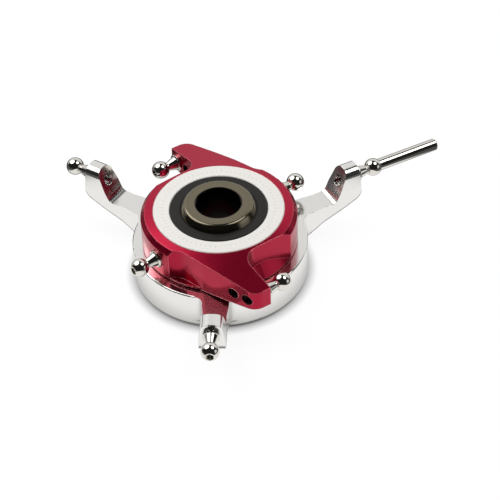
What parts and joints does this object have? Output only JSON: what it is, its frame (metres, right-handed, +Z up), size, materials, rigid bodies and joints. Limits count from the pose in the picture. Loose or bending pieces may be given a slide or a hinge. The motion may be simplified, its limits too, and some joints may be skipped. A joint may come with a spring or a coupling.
{
  "type": "helicopter swashplate",
  "caption": "Model helicopter swashplate: a stationary ring with ball-stud arms carries a rotating ring with lobes and ball studs, on a tilting centre ball for the main shaft.",
  "frame": {"origin": "centre of the centre ball, on the main shaft's axis", "axes": "+Z up the main shaft towards the rotor head, +X along the arm that carries the anti-rotation pin, +Y completes a right-handed frame"},
  "size_m": [0.0981, 0.0894, 0.0242],
  "materials": {
    "centre_ball": "satin hard-anodised grey-bronze",
    "seat": "charcoal moulded plastic",
    "lower_seat": "charcoal moulded plastic",
    "seat_shim": "bright spring steel",
    "cap_ring": "satin silver anodised",
    "rotating_body": "glossy red anodised",
    "lobe_ball_studs": "polished",
    "follower_ball_studs": "polished",
    "stationary_ring": "polished silver anodised",
    "arm_ball_studs": "polished",
    "anti_rotation_pin": "polished",
    "outer_race": "ground bearing steel",
    "inner_race": "ground bearing steel",
    "bearing_balls": "polished",
    "bearing_cage": "pressed steel",
    "upper_shield": "satin pressed steel",
    "lower_shield": "satin pressed steel",
    "race_spacer": "satin",
    "hub_nut": "black anodised",
    "circlip": "phosphated spring steel"
  },
  "bodies": {
    "stationary": {"stationary_ring": "stationary_ring", "arm_ball_studs": "arm_ball_studs", "anti_rotation_pin": "anti_rotation_pin", "bearing_outer_race": "outer_race", "upper_bearing_shield": "upper_shield", "lower_bearing_shield": "lower_shield", "bearing_circlip": "circlip"},
    "rotating": {"rotating_body": "rotating_body", "cap_ring": "cap_ring", "upper_ball_seat": "seat", "lower_ball_seat": "lower_seat", "seat_shim": "seat_shim", "lobe_ball_studs": "lobe_ball_studs", "follower_ball_studs": "follower_ball_studs", "bearing_inner_race": "inner_race", "race_spacer": "race_spacer", "hub_nut": "hub_nut"},
    "bearing_cage": {"bearing_cage": "bearing_cage", "bearing_balls": "bearing_balls"},
    "centre_ball": {"centre_ball": "centre_ball"}
  },
  "joints": [
    {"name": "rotor_spin", "type": "hinge", "parent": "stationary", "child": "rotating", "pos_m": [0, 0, 0], "axis": [0, 0, 1], "continuous": true},
    {"name": "cage_spin", "type": "hinge", "parent": "stationary", "child": "bearing_cage", "pos_m": [0, 0, 0], "axis": [0, 0, 1], "continuous": true},
    {"name": "centre_tilt", "type": "hinge", "parent": "rotating", "child": "centre_ball", "pos_m": [0, 0, 0], "axis": [0, 1, 0], "range_deg": [-12, 12]}
  ],
  "couplings": [
    {"joint": "cage_spin", "follows": "rotor_spin", "ratio": 0.45139}
  ]
}
